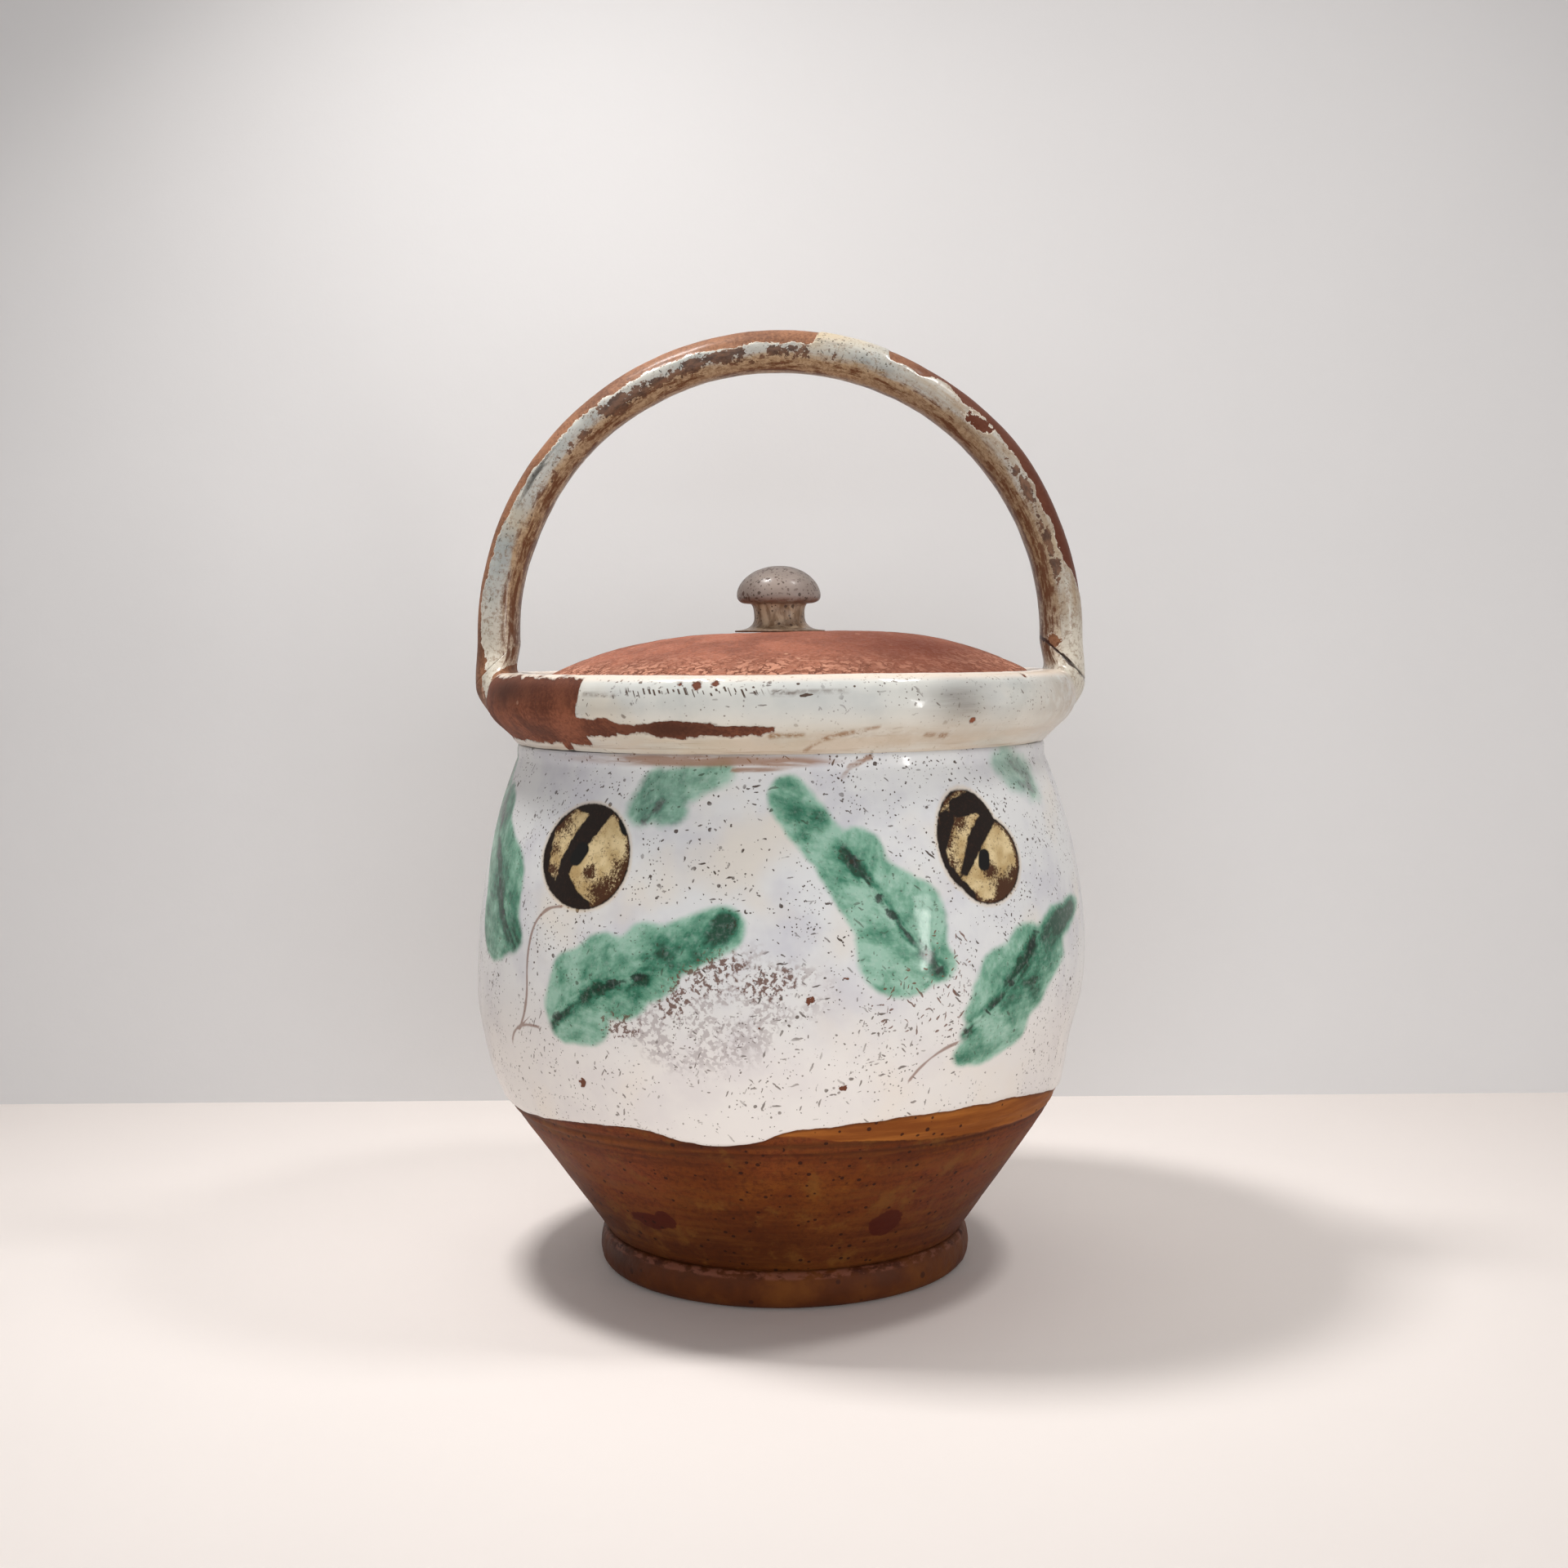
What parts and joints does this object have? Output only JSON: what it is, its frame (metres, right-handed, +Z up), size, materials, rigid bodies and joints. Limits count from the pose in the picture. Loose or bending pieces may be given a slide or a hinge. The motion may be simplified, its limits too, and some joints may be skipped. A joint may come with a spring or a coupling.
{
  "type": "lidded earthenware pot",
  "caption": "Belly-shaped earthenware food pot on a flared foot ring, with a fixed overhead handle and a domed lid with a mushroom knob that sits in a ledge inside the rolled rim.",
  "frame": {"origin": "on the table under the middle of the foot ring, on the pot's axis", "axes": "+Z up along the pot's axis, +X across the handle towards its right end, +Y away from the painted front"},
  "size_m": [0.2088, 0.207, 0.3192],
  "materials": {
    "cream_glaze": "glossy cream-white glaze over red clay, painted with green leaves and brown fruit, speckled and worn",
    "honey_glaze": "thin satin honey-brown glaze over red clay",
    "worn_glaze": "grey-white glaze worn through to red clay along the outer side",
    "grey_glaze": "thin grey speckled glaze",
    "bare_clay": "matt bare red clay where the glaze has flaked off"
  },
  "bodies": {
    "pot": {"foot_ring": "honey_glaze", "pot_body": "cream_glaze", "rim_collar": "cream_glaze", "handle_pad_left": "bare_clay", "handle_pad_right": "cream_glaze", "handle_arch": "worn_glaze"},
    "lid": {"lid_dome": "bare_clay", "lid_knob": "grey_glaze"}
  },
  "joints": [
    {"name": "lid_lift", "type": "slide", "parent": "pot", "child": "lid", "axis": [0, 0, 1], "range_m": [0, 0.035]}
  ]
}
